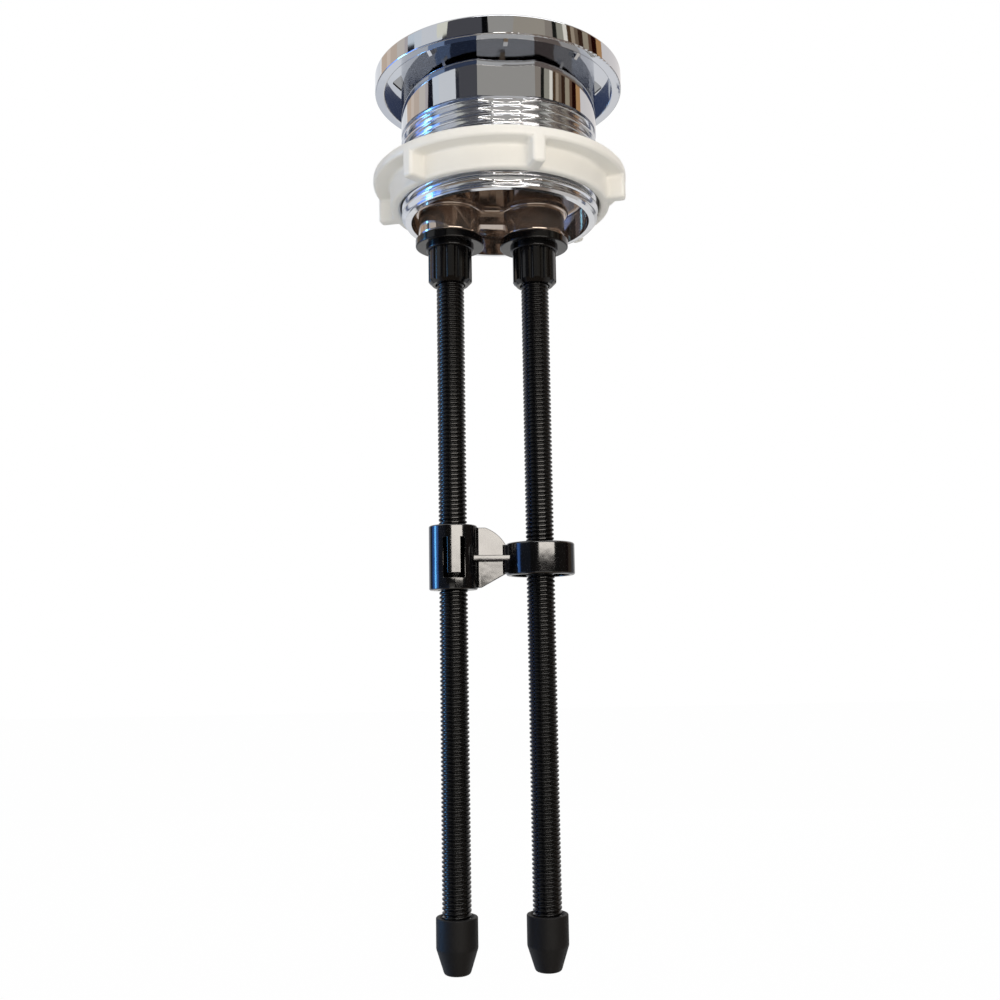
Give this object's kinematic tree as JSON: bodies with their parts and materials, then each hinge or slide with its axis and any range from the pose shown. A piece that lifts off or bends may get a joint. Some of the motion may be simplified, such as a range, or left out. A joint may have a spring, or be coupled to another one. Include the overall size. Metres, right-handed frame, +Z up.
{
  "type": "push button cistern actuator",
  "caption": "Chromed cistern push button with a flange, threaded barrel, lugged back nut, sprung split buttons, threaded push rods with rubber feet, and a spacer clip between the rods.",
  "frame": {"origin": "on the barrel's axis, in the plane of the flange lip that seats on the cistern lid", "axes": "+Z up along the barrel's axis to the buttons, +X along the line from the half flush rod to the full flush rod"},
  "size_m": [0.0608, 0.0608, 0.2117],
  "materials": {
    "chrome": "mirror chrome plate on moulded plastic",
    "cream_plastic": "cream moulded plastic, slightly glossy",
    "spring_steel": "bright drawn wire",
    "black_plastic": "black moulded plastic, glossy",
    "black_rubber": "matt black rubber"
  },
  "bodies": {
    "frame": {"housing": "chrome", "half_spring": "spring_steel", "full_spring": "spring_steel"},
    "nut": {"back_nut": "cream_plastic"},
    "half_press": {"half_button": "chrome", "half_socket": "black_plastic"},
    "full_press": {"full_button": "chrome", "full_socket": "black_plastic"},
    "half_push_rod": {"half_rod": "black_plastic", "half_foot": "black_rubber"},
    "full_push_rod": {"full_rod": "black_plastic", "full_foot": "black_rubber"},
    "clip": {"spacer_clip": "black_plastic"}
  },
  "joints": [
    {"name": "half_button_press", "type": "slide", "parent": "frame", "child": "half_press", "axis": [0, 0, -1], "range_m": [0, 0.006], "stiffness_N_per_m": 400, "springref_m": -0.004, "deforming": ["half_spring"]},
    {"name": "full_button_press", "type": "slide", "parent": "frame", "child": "full_press", "axis": [0, 0, -1], "range_m": [0, 0.006], "stiffness_N_per_m": 400, "springref_m": -0.004, "deforming": ["full_spring"]},
    {"name": "back_nut_run", "type": "slide", "parent": "frame", "child": "nut", "axis": [0, 0, 1], "range_m": [-0.003, 0.01]},
    {"name": "half_rod_height", "type": "slide", "parent": "half_press", "child": "half_push_rod", "axis": [0, 0, 1], "range_m": [-0.008, 0.014]},
    {"name": "full_rod_height", "type": "slide", "parent": "full_press", "child": "full_push_rod", "axis": [0, 0, 1], "range_m": [-0.008, 0.014]},
    {"name": "clip_height", "type": "slide", "parent": "half_push_rod", "child": "clip", "axis": [0, 0, 1], "range_m": [-0.04, 0.03]}
  ]
}
